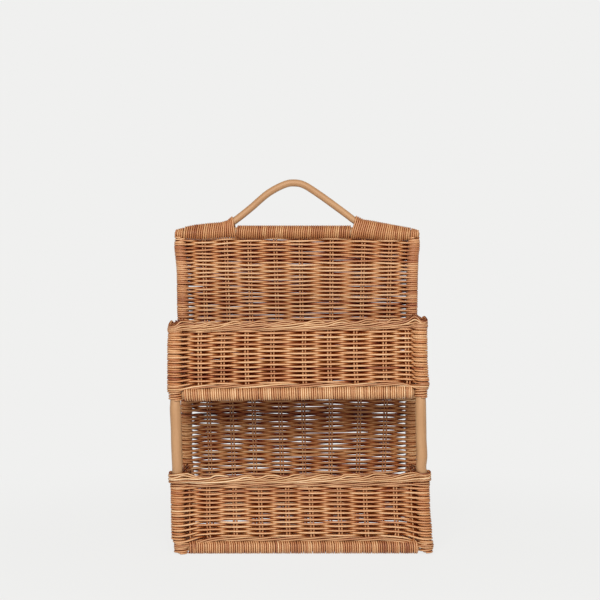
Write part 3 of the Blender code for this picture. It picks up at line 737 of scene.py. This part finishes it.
# How far from the posts' axes single stakes stand
SINGLES = {"upper": (), "lower": (14.5,)}
SIDE_PAIRS = 4
SIDE_RISE = {"upper": 6.0, "lower": 0.0}
# The length of a corner round a post
CORNER = 12.0
# How far the lowest rows sink beside a post, and over what distance
BOTTOM_DROP = {"upper": (2.4, 26), "lower": (6.6, 50)}
BAND_ROWS = {"upper": 24, "lower": 23}
BAND_UNEVEN, BAND_WAVINESS, BAND_JITTER, BAND_THICKNESS = 0.16, 0.3, 0.14, 0.035
# How much browner a row is round a post, how much less painted shade lies on its flanks there, and how far
# from the axis
WRAP_TONE, WRAP_FLANK_SHADE, WRAP_REACH = -0.08, -0.3, (12, 8)
# How far below a border's top the waling under it ends, and how high the foot's waling stands
WALE_FOOT = {"upper": 15.2, "lower": 18.5}
FOOT_WALE = 4.6
# How far the lowest row sinks into the waling, and how many radii the highest keeps off it
SUNK, UNDER_WALE = 0.6, 0.6
BAND_STAKE_FOOT, BAND_STAKE_HEAD = 7, 6
# The angles of a row's turn round the last pair, and round each post
END_TURN = (0.1, math.pi * 0.8)
POST_TURN = {-1: (62, 28), 1: (152, 118)}
POST_GAP = 0.05


def band_nodes(tier, part):
    return [f"{tier}_front_{part}", *(f"{tier}_side_{part}_{word}" for _, word in SIDES)]


class Band:
    """Places along it run from the left side's last pair, round both posts, to the right side's."""

    def __init__(self, tier):
        self.tier = tier
        self.z = FLOOR_Z[tier]
        low, high = box(f"{tier}_side_stakes_right")
        first = low[1] + BAND_STAKE_R + HALF_PAIR
        back = high[1] - BAND_STAKE_R - HALF_PAIR
        depth = back - FRONT_Y
        self.edges = np.cumsum([depth, CORNER, 2 * FRONT_HALF, CORNER])
        self.length = self.edges[-1] + depth
        self.posts = (self.edges[0] + CORNER / 2, self.edges[2] + CORNER / 2)
        self.left_pins = [(back - first) * i / (SIDE_PAIRS - 1) for i in range(SIDE_PAIRS)]
        self.right_pins = [self.length - s for s in self.left_pins]
        # All pins and posts, with one more beyond each end
        front = [self.of_front(x) for x in BAND_PAIRS[tier]]
        step = self.left_pins[1]
        self.anchors = np.array([-step, *self.left_pins, self.posts[0], *front, self.posts[1],
                                 *self.right_pins[::-1], self.length + step])
        self.last = len(self.anchors) - 1

    def at(self, s, n, z):
        """The points at places along the band, offsets outward and heights."""
        s, n, z = (np.asarray(v, float) for v in np.broadcast_arrays(s, n, z))
        edges = self.edges
        # The right side's border lies higher towards the back than at the post
        higher = SIDE_RISE[self.tier] * np.clip((s - edges[3]) / edges[0], 0, 1)
        z = z + higher * np.clip((z - self.z) / (RIM_Z[self.tier] - self.z), 0, 1) ** 2
        turn = math.pi / 2
        angle_left = math.pi + (s - edges[0]) / CORNER * turn
        angle_right = -turn + (s - edges[2]) / CORNER * turn
        y_left = edges[0] + FRONT_Y - s
        y_right = FRONT_Y + s - edges[3]
        zones = [s < edges[0], s < edges[1], s < edges[2], s < edges[3]]
        x = np.select(zones, [
            -side_half(y_left, self.z) - n,
            -FRONT_HALF + n * np.cos(angle_left),
            -FRONT_HALF + s - edges[1],
            FRONT_HALF + n * np.cos(angle_right),
        ], side_half(y_right, self.z) + n)
        y = np.select(zones, [
            y_left,
            FRONT_Y + n * np.sin(angle_left),
            FRONT_Y - n,
            FRONT_Y + n * np.sin(angle_right),
        ], y_right)
        return line(x, y, z)

    def of_front(self, x):
        return self.edges[1] + FRONT_HALF + x

    def of_pins(self, t):
        return np.interp(t, np.arange(self.last + 1), self.anchors)

    def outward(self, points):
        """The way from the band's middle surface to these points, at most 1 long."""
        x, y = points[:, 0], points[:, 1]
        to_front = np.stack([x - np.clip(x, -FRONT_HALF, FRONT_HALF), y - FRONT_Y], axis=1)
        to_side = np.stack([x - np.sign(x) * side_half(y, self.z), y - np.maximum(y, FRONT_Y)], axis=1)
        nearer = np.linalg.norm(to_front, axis=1) < np.linalg.norm(to_side, axis=1)
        away = np.where(nearer[:, None], to_front, to_side) / (BAND_STAKE_R + BAND_STRAND_R)
        away /= np.maximum(np.linalg.norm(away, axis=1), 1)[:, None]
        return np.column_stack([away, np.zeros_like(x)])

    def near_posts(self, s, reach):
        """For the left and the right post, 1 at the post and 0 further than reach from it."""
        away = [np.abs(np.asarray(s, float) - post) - CORNER / 2 for post in self.posts]
        return [smooth(1 - np.maximum(a, 0) / reach) for a in away]

    def near_post(self, s, reach):
        return np.max(self.near_posts(s, reach), axis=0)

    def corner_rise(self, s):
        """How much higher the border is at a place, near the posts."""
        left, right = self.near_posts(s, RISE_REACH)
        return CORNER_RISES[self.tier][0] * left + CORNER_RISES[self.tier][1] * right


def make_band(tier):
    band = Band(tier)
    low = floor_top(tier) + FOOT_WALE + BAND_STRAND_R - SUNK
    high = RIM_Z[tier] - WALE_FOOT[tier] - BAND_STRAND_R * UNDER_WALE
    rows = BAND_ROWS[tier]
    pitch = (high - low) / (rows - 1)
    own = unevenness(rows, BAND_UNEVEN)
    pairs = BAND_PAIRS[tier]
    lean = rng.normal(0, PAIR_LEAN, len(pairs))
    most, reach = BOTTOM_DROP[tier]

    def front_pin(i, level):
        return band.of_front(pairs[i] + lean[i] * (level - low) / PAIR_LEAN_OVER)

    cane = Cane(sides=7)
    wave = waviness(BAND_WAVINESS)
    for row in range(rows):
        level = low + row * pitch
        stops = [(0, s) for s in band.left_pins] + [(-1, band.posts[0])]
        stops += [(0, front_pin(i, level)) for i in range(len(pairs))]
        stops += [(1, band.posts[1])] + [(0, s) for s in reversed(band.right_pins)]
        jitter = rng.normal(0, BAND_JITTER)
        drop = most * (1 - row / (rows - 1)) ** 2

        def height(s):
            uneven = own(s - band.length / 2, row)
            return level + jitter + wave(s, row) + uneven - drop * band.near_post(s, reach)

        path = band_row(band, row, stops, height, pitch)
        radius = BAND_STRAND_R * rng.normal(1, BAND_THICKNESS)
        beside = ease(np.hypot(np.abs(path[:, 0]) - FRONT_HALF, path[:, 1] - FRONT_Y), *WRAP_REACH)
        tones = tones_along(len(path), 90, 260) + WRAP_TONE * beside
        # Round a post the tone is browner and the flanks get less painted shade
        edge = cane.edge + WRAP_FLANK_SHADE * beside
        cane.add(path, radius, (0, 0, 1), tones, outward=band.outward(path), edge=edge)
    cane.piece(f"{tier}_band_weaving", WEAVING, "weaving_core", *band_nodes(tier, "weave"))

    stakes = Cane(sides=8, edge=STAKE_FLANK_SHADE)
    levels = np.linspace(low - BAND_STAKE_FOOT, RIM_Z[tier] - BAND_STAKE_HEAD, 14)
    pair = (-HALF_PAIR, HALF_PAIR)
    lines = [(front_pin(i, levels) + offset, (1, 0, 0)) for i in range(len(pairs)) for offset in pair]
    lines += [(band.of_front(side * (FRONT_HALF - away)), (1, 0, 0)) for side in (-1, 1)
              for away in SINGLES[tier]]
    lines += [(s + offset, (0, 1, 0)) for s in band.left_pins + band.right_pins for offset in pair]
    for s, across in lines:
        stakes.add(band.at(s, 0, levels), BAND_STAKE_R, across)
    stakes.piece(f"{tier}_band_stakes", STAKES, "stake_core", *band_nodes(tier, "stakes"))


def band_row(band, row, stops, height, pitch):
    """One row of a band, in front of every second pin. It passes outside a post, or goes right round it.

    A stop is (0, place) at a pin, and (side, place) at a post.
    """
    track = BAND_STAKE_R + BAND_STRAND_R * PRESSED
    post_track = POST_R + BAND_STRAND_R + POST_GAP
    parts = [end_turn(band, stops[0][1], row, height, track, -1)]
    for m, (post, place) in enumerate(stops):
        sign = side_of(m + row)
        if not post:
            s = np.array([place - HALF_PAIR - PAST_PIN, place, place + HALF_PAIR + PAST_PIN])
            contact = band.at(s, sign * track, height(s))
        elif sign > 0:
            s = np.linspace(place - CORNER / 2, place + CORNER / 2, 9)
            contact = band.at(s, post_track, height(s))
        else:
            contact = post_turn(post, post_track, float(height(place)), pitch)
        if m:
            straight = post and sign < 0 or stops[m - 1][0] and sign > 0
            parts.append(crossing(parts[-1][-1], contact[0], straight))
        parts.append(contact)
    parts.append(end_turn(band, stops[-1][1], row + len(stops) - 1, height, track, 1))
    path = np.concatenate(parts)
    apart = np.linalg.norm(np.diff(path, axis=0), axis=1) > 0.05
    return path[np.concatenate([[True], apart])]


def crossing(start, stop, straight):
    """From one pin to the next: along the band evenly, and across it either evenly or smoothly."""
    t = np.linspace(0, 1, 9)[1:-1, None]
    even = start + (stop - start) * t
    points = start + (stop - start) * smooth(t)
    along = np.abs(stop - start)[:2].argmax()
    points[:, along] = even[:, along]
    if straight:
        points[:, :2] = even[:, :2]
    return points


def end_turn(band, place, parity, height, track, direction):
    """A row's end, turned round the last pair of a side."""
    turn = np.linspace(*END_TURN[::direction], 9)
    s = place + direction * (HALF_PAIR + PAST_PIN + (track - PAST_PIN) * np.sin(turn))
    return band.at(s, side_of(parity) * track * np.cos(turn), float(height(place)))


def post_turn(side, radius, level, pitch):
    """Once round a post and a little more, from inside the band to inside it again, rising by a row."""
    start, stop = (math.radians(angle) for angle in POST_TURN[side])
    angle = np.linspace(start, stop - math.tau, 26)
    x, y = side * FRONT_HALF + radius * np.cos(angle), FRONT_Y + radius * np.sin(angle)
    return line(x, y, level + np.linspace(-0.5, 0.5, 26) * pitch)


# Borders and waling

RIM_STRAND_R, RIM_THICKNESS = 1.34, 0.04
WALE_STRAND_R, WALE_THICKNESS = 1.38, 0.03
# Keys of a border's strands, as (pins along, outward, height over its top)
ROLLED = (
    ((-2.0, 1.4, -11.6), (-1.4, 3.2, -11.2), (-0.9, 4.0, -10.2), (-0.5, 4.3, -9.0), (-0.15, 4.3, -7.6),
     (0.1, 4.0, -6.2), (0.28, 3.4, -4.4), (0.45, 2.7, -3.8), (0.62, 2.1, -4.3), (0.8, 1.0, -6.1),
     (0.97, -1.2, -7.6), (1.12, -3.2, -10.5)),
    ((-2.2, 1.2, -13.0), (-1.6, 3.4, -13.2), (-1.0, 4.4, -12.6), (-0.5, 4.9, -11.6), (-0.1, 5.0, -9.9),
     (0.15, 4.7, -8.1), (0.32, 4.2, -6.8), (0.48, 3.7, -6.4), (0.66, 3.0, -6.7), (0.84, 1.8, -7.8),
     (0.99, -0.4, -9.4), (1.14, -3.2, -12.0)),
    ((-1.1, -3.4, -12.0), (-0.7, -3.8, -10.0), (-0.3, -2.6, -8.8), (0.0, -1.2, -8.6), (0.3, -2.2, -9.4),
     (0.6, -3.4, -11.0)),
)
# The strands inside a border, as (outward, height over its top), and how much browner they are
FILLING = ((0.6, -6.2), (-1.2, -8.2), (-2.6, -10.5), (1.2, -11.5))
FILL_TONE = -0.4
# Keys of a waling strand, which repeat
WALING = ((0, -2.9, 1.9), (0.45, 0.9, 0.1), (1, 3.0, 0.6), (1.5, 3.5, 1.7), (2, 3.4, 3.0), (2.55, 0.9, 3.8))
WALE_STRANDS = 3
# How unevenly the keys lie, first in pins
PLACE_JITTER, RIM_JITTER, WALE_JITTER = 0.02, 0.25, 0.15
# How much lower than in its keys a border lies
RIM_SINK = {"upper": 0.0, "lower": 0.5}
# How much a border rises to its left and its right post, and over what distance
CORNER_RISES = {"upper": (1.6, 3.2), "lower": (5.0, 2.8)}
RISE_REACH = 28
# Over what height from its foot a border comes to rise and drop in full
FULL_RISE = 11
# How much lower its top strands are round a post, and over what distance on the front and a side
CORNER_DROPS = {"upper": 4.4, "lower": 0.6}
DROP_REACHES = (9, 11)
# Over what distance a strand closes in on a post, and how much of its way outward it keeps there
HUG_REACH, HUG_INSIDE = 16, 3.5
WALE_HUG = 0.1
RIM_HUG = {"upper": 0.12, "lower": 0.3}
# Over what distance the waling's strands fan out to a post, and their heights there
FAN_REACH = 26
TOP_FAN = (0.2, 2.9, 5.6)
FOOT_FAN = (-1.2, 1.4, 4.0)
# How far the waling sinks into the floor's weaving
WALE_SINK = 0.4
# How much paler a border's strands are than the waling
RIM_TONE = {"upper": 0.02, "lower": 0.16}


def strand_along(cane, band, keys, top, radius, hug=WALE_HUG, at_corner=None, paler=0.0):
    """A strand through keys given as (pins along, outward, height over top).

    It keeps outside the posts, and rounds them at the height at_corner where that is given.
    """
    t, n, z = curve(keys, 6).T
    s = band.of_pins(t)
    at_post = band.near_post(s, HUG_REACH)
    if at_corner is None:
        high = np.clip((z + WALE_FOOT[band.tier]) / FULL_RISE, 0, 1)
        reach = np.where((s > band.edges[0]) & (s < band.edges[3]), *DROP_REACHES)
        z = z + (band.corner_rise(s) - CORNER_DROPS[band.tier] * band.near_post(s, reach) ** 2) * high
    else:
        fanned = band.near_post(s, FAN_REACH)
        z = z * (1 - fanned) + at_corner * fanned
    n = n * (1 - at_post) + (POST_R + radius + (n + HUG_INSIDE) * hug) * at_post
    path = band.at(s, n, top + z)
    path = path[(t > 0) & (t < band.last) & (path[:, 1] < BACK_Y)]
    if len(path) > 4:
        cane.add(path, radius, (0, 0, 1), new_tone() + paler)


def make_border(tier):
    band = Band(tier)
    top = RIM_Z[tier]
    # A border's strands get the most painted shade on their flanks, where they meet
    cane = Cane(edge=1.0)
    for k in range(band.last + 1):
        for rolled in ROLLED:
            radius = RIM_STRAND_R * rng.normal(1, RIM_THICKNESS)
            keys = [(k + t + rng.normal(0, PLACE_JITTER), n + rng.normal(0, RIM_JITTER),
                     z - RIM_SINK[tier] + rng.normal(0, RIM_JITTER)) for t, n, z in rolled]
            strand_along(cane, band, keys, top, radius, RIM_HUG[tier], paler=RIM_TONE[tier])
    for n, z in FILLING:
        keys = [(t, n, z) for t in np.linspace(0, band.last, 2 * band.last + 2)]
        strand_along(cane, band, keys, top, RIM_STRAND_R, RIM_HUG[tier], paler=FILL_TONE)
    add_waling(cane, band, top - WALE_FOOT[tier], TOP_FAN)
    nodes = [f"{tier}_rim_{part}" for part in ("front", "left", "right")]
    cane.piece(f"{tier}_border_rods", BORDER, "border_core", *nodes)
    foot = Cane()
    add_waling(foot, band, floor_top(tier) - WALE_SINK, FOOT_FAN, *BOTTOM_DROP[tier])
    foot.piece(f"{tier}_foot_waling", BORDER, "border_core")


def add_waling(cane, band, level, fan, drop=0.0, reach=1.0):
    """Strands that go before two pins and behind the next, a pin apart."""
    for strand in range(WALE_STRANDS):
        starts = range(strand - WALE_STRANDS, band.last + 1, WALE_STRANDS)
        keys = [(k + t, n, z) for k in starts for t, n, z in WALING]
        keys = np.array([key for key in keys if 0 <= key[0] <= band.last])
        keys[:, 2] -= drop * band.near_post(band.of_pins(keys[:, 0]), reach)
        keys[:, 1:] += rng.normal(0, WALE_JITTER, (len(keys), 2))
        radius = WALE_STRAND_R * rng.normal(1, WALE_THICKNESS)
        strand_along(cane, band, keys, level, radius, at_corner=fan[strand] - drop)


# Bindings

BINDING_R, BINDING_TONE = 1.35, -0.02
# Beyond the handle's feet the binding is closer
BINDING_PITCH, END_PITCH = 2.82, 2.6
TURN_STEPS, POST_TURN_STEPS = 26, 22
# How much of its first and last turn a post's wrap stays level
LEVEL_SHARE = 0.3
RAIL_BINDING = (-80.0, 70.6)
# Of each foot's binding: its inner end, its lean there, and over what distance that goes
FOOT_BINDINGS = {"left": (-81.2, -0.3, 24), "right": (72.6, 0.137, 90)}
# The height at which a leaning turn meets the handle
LEAN_HEIGHT = 14
# Where a foot's binding ends and the closer one begins, from the rail's end
FOOT_BINDING_END, LAST_BINDING_START = 13.0, 12.2
# The posts' wraps: from a front post's end to a height, about the upper floor, and on the back posts
LOW_WRAP = (-0.6, 12.8)
HIGH_WRAP = (-6.0, 4.5)
HIGH_WRAP_SHARE = 0.9
BACK_FOOT_WRAP = (1.5, 17.0)
BACK_FOOT_WRAP_MIDDLE = 8


def foot_of_handle(x):
    """The handle's height over the top rail's axis and its radius at x, where it lies along the rail."""
    xs, heights, radii = np.array(HANDLE).T
    return np.interp(x, xs, heights), np.interp(x, xs, radii)


def round_two(share, large, small, height):
    """A point of the loop about a rod and a thinner one above it, at a share of its length."""
    lean = math.asin(min((large - small) / height, 1.0))
    flank = height * math.cos(lean)
    lower = large * (math.pi / 2 + lean)
    upper = small * (math.pi / 2 - lean)
    half = lower + flank + upper
    way = share * 2 * half
    side = 1 if way < half else -1
    way = min(way, 2 * half - way)
    if way < lower:
        angle = -math.pi / 2 + way / large
        y, z = large * math.cos(angle), large * math.sin(angle)
    elif way < lower + flank:
        y = large * math.cos(lean) - (way - lower) * math.sin(lean)
        z = large * math.sin(lean) + (way - lower) * math.cos(lean)
    else:
        angle = lean + (way - lower - flank) / small
        y, z = small * math.cos(angle), height + small * math.sin(angle)
    return side * y, z


def wrap_rail(cane, start, stop, lean=None, pitch=BINDING_PITCH):
    """A binding round the top rail. With a lean(x), in 1 along it, it goes round the handle's foot too."""
    start, stop = min(start, stop), max(start, stop)
    turns = int(round((stop - start) / pitch))
    path = []
    for i in range(turns * TURN_STEPS + 1):
        share = (i / TURN_STEPS) % 1.0
        x = start + (stop - start) * i / (turns * TURN_STEPS)
        large = rail_radius(x) + BINDING_R
        if lean:
            height, small = foot_of_handle(x + lean(x) * LEAN_HEIGHT)
            y, z = round_two(share, large, small + BINDING_R, height)
            x += lean(x) * z
        else:
            y, z = large * math.sin(math.tau * share), -large * math.cos(math.tau * share)
        path.append((x, BACK_Y - y, TOP_Z + z))
    cane.add(path, BINDING_R, (1, 0, 0), tones_along(len(path), 20, 60, BINDING_TONE))


def wrap_post(cane, x, y, radius, low, high):
    turns = max(int(round((high - low) / (2 * BINDING_R))), 1)
    end = turns * math.tau
    flat = LEVEL_SHARE * math.tau
    angle = np.linspace(0, end, turns * POST_TURN_STEPS)
    level = np.interp(angle, (0, flat, end - flat, end), (low, low, high, high))
    reach = radius + BINDING_R
    path = line(x + reach * np.sin(angle), y - reach * np.cos(angle), level)
    cane.add(path, BINDING_R, (0, 0, 1), tones_along(len(angle), 15, 40))


def make_bindings():
    cane = Cane()
    wrap_rail(cane, *RAIL_BINDING)
    cane.piece("top_rail_binding", WRAPPING, "binding_core", "top_rail_wrap")
    for side, word in SIDES:
        cane = Cane()
        inner, most, reach = FOOT_BINDINGS[word]

        def lean(x):
            return most * smooth(1 - (abs(x) - abs(inner)) / reach)

        wrap_rail(cane, inner, side * (TOP_HALF - FOOT_BINDING_END), lean)
        wrap_rail(cane, side * (TOP_HALF - LAST_BINDING_START), side * (TOP_HALF - RAIL_END), pitch=END_PITCH)
        cane.piece(f"handle_foot_binding_{word}", WRAPPING, "binding_core", f"handle_binding_{word}")
    for side, word in SIDES:
        front = (side * FRONT_HALF, FRONT_Y)
        back = (side * back_half(BACK_FOOT_WRAP_MIDDLE), BACK_Y)
        for place, axis, radius, low, high in (
            ("lower_corner", front, POST_R, FOOT_Z[word] + LOW_WRAP[0], LOW_WRAP[1]),
            ("upper_corner", front, POST_R * HIGH_WRAP_SHARE, *(FLOOR_Z["upper"] + np.array(HIGH_WRAP))),
            ("back_foot", back, BACK_R, *BACK_FOOT_WRAP),
        ):
            cane = Cane()
            wrap_post(cane, *axis, radius, low, high)
            cane.piece(f"{place}_wrap_{word}", WRAPPING, "binding_core", f"{place}_binding_{word}")


# Camera, light and floor, in metres and degrees

BACKGROUND = screen(240, 240, 239)
CAMERA_PLACE = (0.0019, -1.962, 0.3952)
FIELD_OF_VIEW, CAMERA_TILT = 22.33, 2.219
AMBIENT, AMBIENT_STRENGTH = (1.0, 0.93, 0.86, 1.0), 0.11
FLOOR_REACH = 6.0
# At what distances the floor melts into the background, and how far
FADE_AWAY = (0.2, 0.75)
FADE_SHARE = (0.92, 1.0)
LAMP_COLOUR, LAMP_SIZE = (1.0, 0.985, 0.96), 1.6
# The lamps' places, what they aim at, and their power
LAMPS = {
    "key": ((-0.15, -2.3, 1.6), (0, 0, 0.25), 74),
    "fill": ((0.9, -2.2, 0.9), (0, 0, 0.2), 4),
    "back": ((0.3, 2.1, 1.3), (0, 0, 0.25), 8),
}


def make_camera():
    scene.view_settings.view_transform = "Standard"
    data = bpy.data.cameras.new("camera")
    data.angle = math.radians(FIELD_OF_VIEW)
    camera = in_scene("camera", data)
    camera.location = CAMERA_PLACE
    camera.rotation_euler = (math.radians(90 - CAMERA_TILT), 0, 0)
    scene.camera = camera


def make_world():
    world = bpy.data.worlds.new("studio")
    scene.world = world
    world.use_nodes = True
    tree = world.node_tree
    tree.nodes.clear()
    paths = node(tree, "ShaderNodeLightPath")
    seen = maths(tree, "MAXIMUM", paths.outputs["Is Camera Ray"], paths.outputs["Is Glossy Ray"])
    ambient = node(tree, "ShaderNodeBackground", {"Color": AMBIENT, "Strength": AMBIENT_STRENGTH})
    backdrop = node(tree, "ShaderNodeBackground", {"Color": BACKGROUND, "Strength": 1.0})
    mix = node(tree, "ShaderNodeMixShader", {0: seen, 1: ambient.outputs[0], 2: backdrop.outputs[0]})
    node(tree, "ShaderNodeOutputWorld", {"Surface": mix.outputs[0]})


def make_floor_plane():
    """A pale floor that melts into the background away from the object."""
    mesh = bpy.data.meshes.new("floor")
    corners = FLOOR_REACH * np.array([(-1, -1, 0), (1, -1, 0), (1, 1, 0), (-1, 1, 0)])
    mesh.from_pydata(corners.tolist(), [], [(0, 1, 2, 3)])
    floor = in_scene("floor", mesh)
    made = bpy.data.materials.new("floor")
    made.use_nodes = True
    tree = made.node_tree
    shader = tree.nodes["Principled BSDF"]
    feed(tree, shader, {"Base Color": BACKGROUND, "Roughness": 0.9})
    glow = node(tree, "ShaderNodeEmission", {"Color": BACKGROUND})
    place = node(tree, "ShaderNodeNewGeometry")
    away = node(tree, "ShaderNodeVectorMath", {0: place.outputs["Position"]}, operation="LENGTH")
    fade = mapped(tree, away.outputs["Value"], *FADE_AWAY, *FADE_SHARE, interpolation_type="SMOOTHSTEP")
    mix = node(tree, "ShaderNodeMixShader", {0: fade, 1: shader.outputs[0], 2: glow.outputs[0]})
    feed(tree, tree.nodes["Material Output"], {"Surface": mix.outputs[0]})
    mesh.materials.append(made)


def make_lights():
    for name, (place, aim, power) in LAMPS.items():
        data = bpy.data.lights.new(name, "AREA")
        data.shape = "DISK"
        data.size = LAMP_SIZE
        data.energy = power
        data.color = LAMP_COLOUR
        lamp = in_scene(name, data)
        lamp.location = place
        lamp.rotation_euler = (Vector(aim) - Vector(place)).to_track_quat("-Z", "Y").to_euler()


def main():
    make_rods()
    make_handle()
    make_back()
    for tier in ("lower", "upper"):
        make_floor(tier)
        make_band(tier)
        make_border(tier)
    make_bindings()
    make_camera()
    make_world()
    make_floor_plane()
    make_lights()


main()
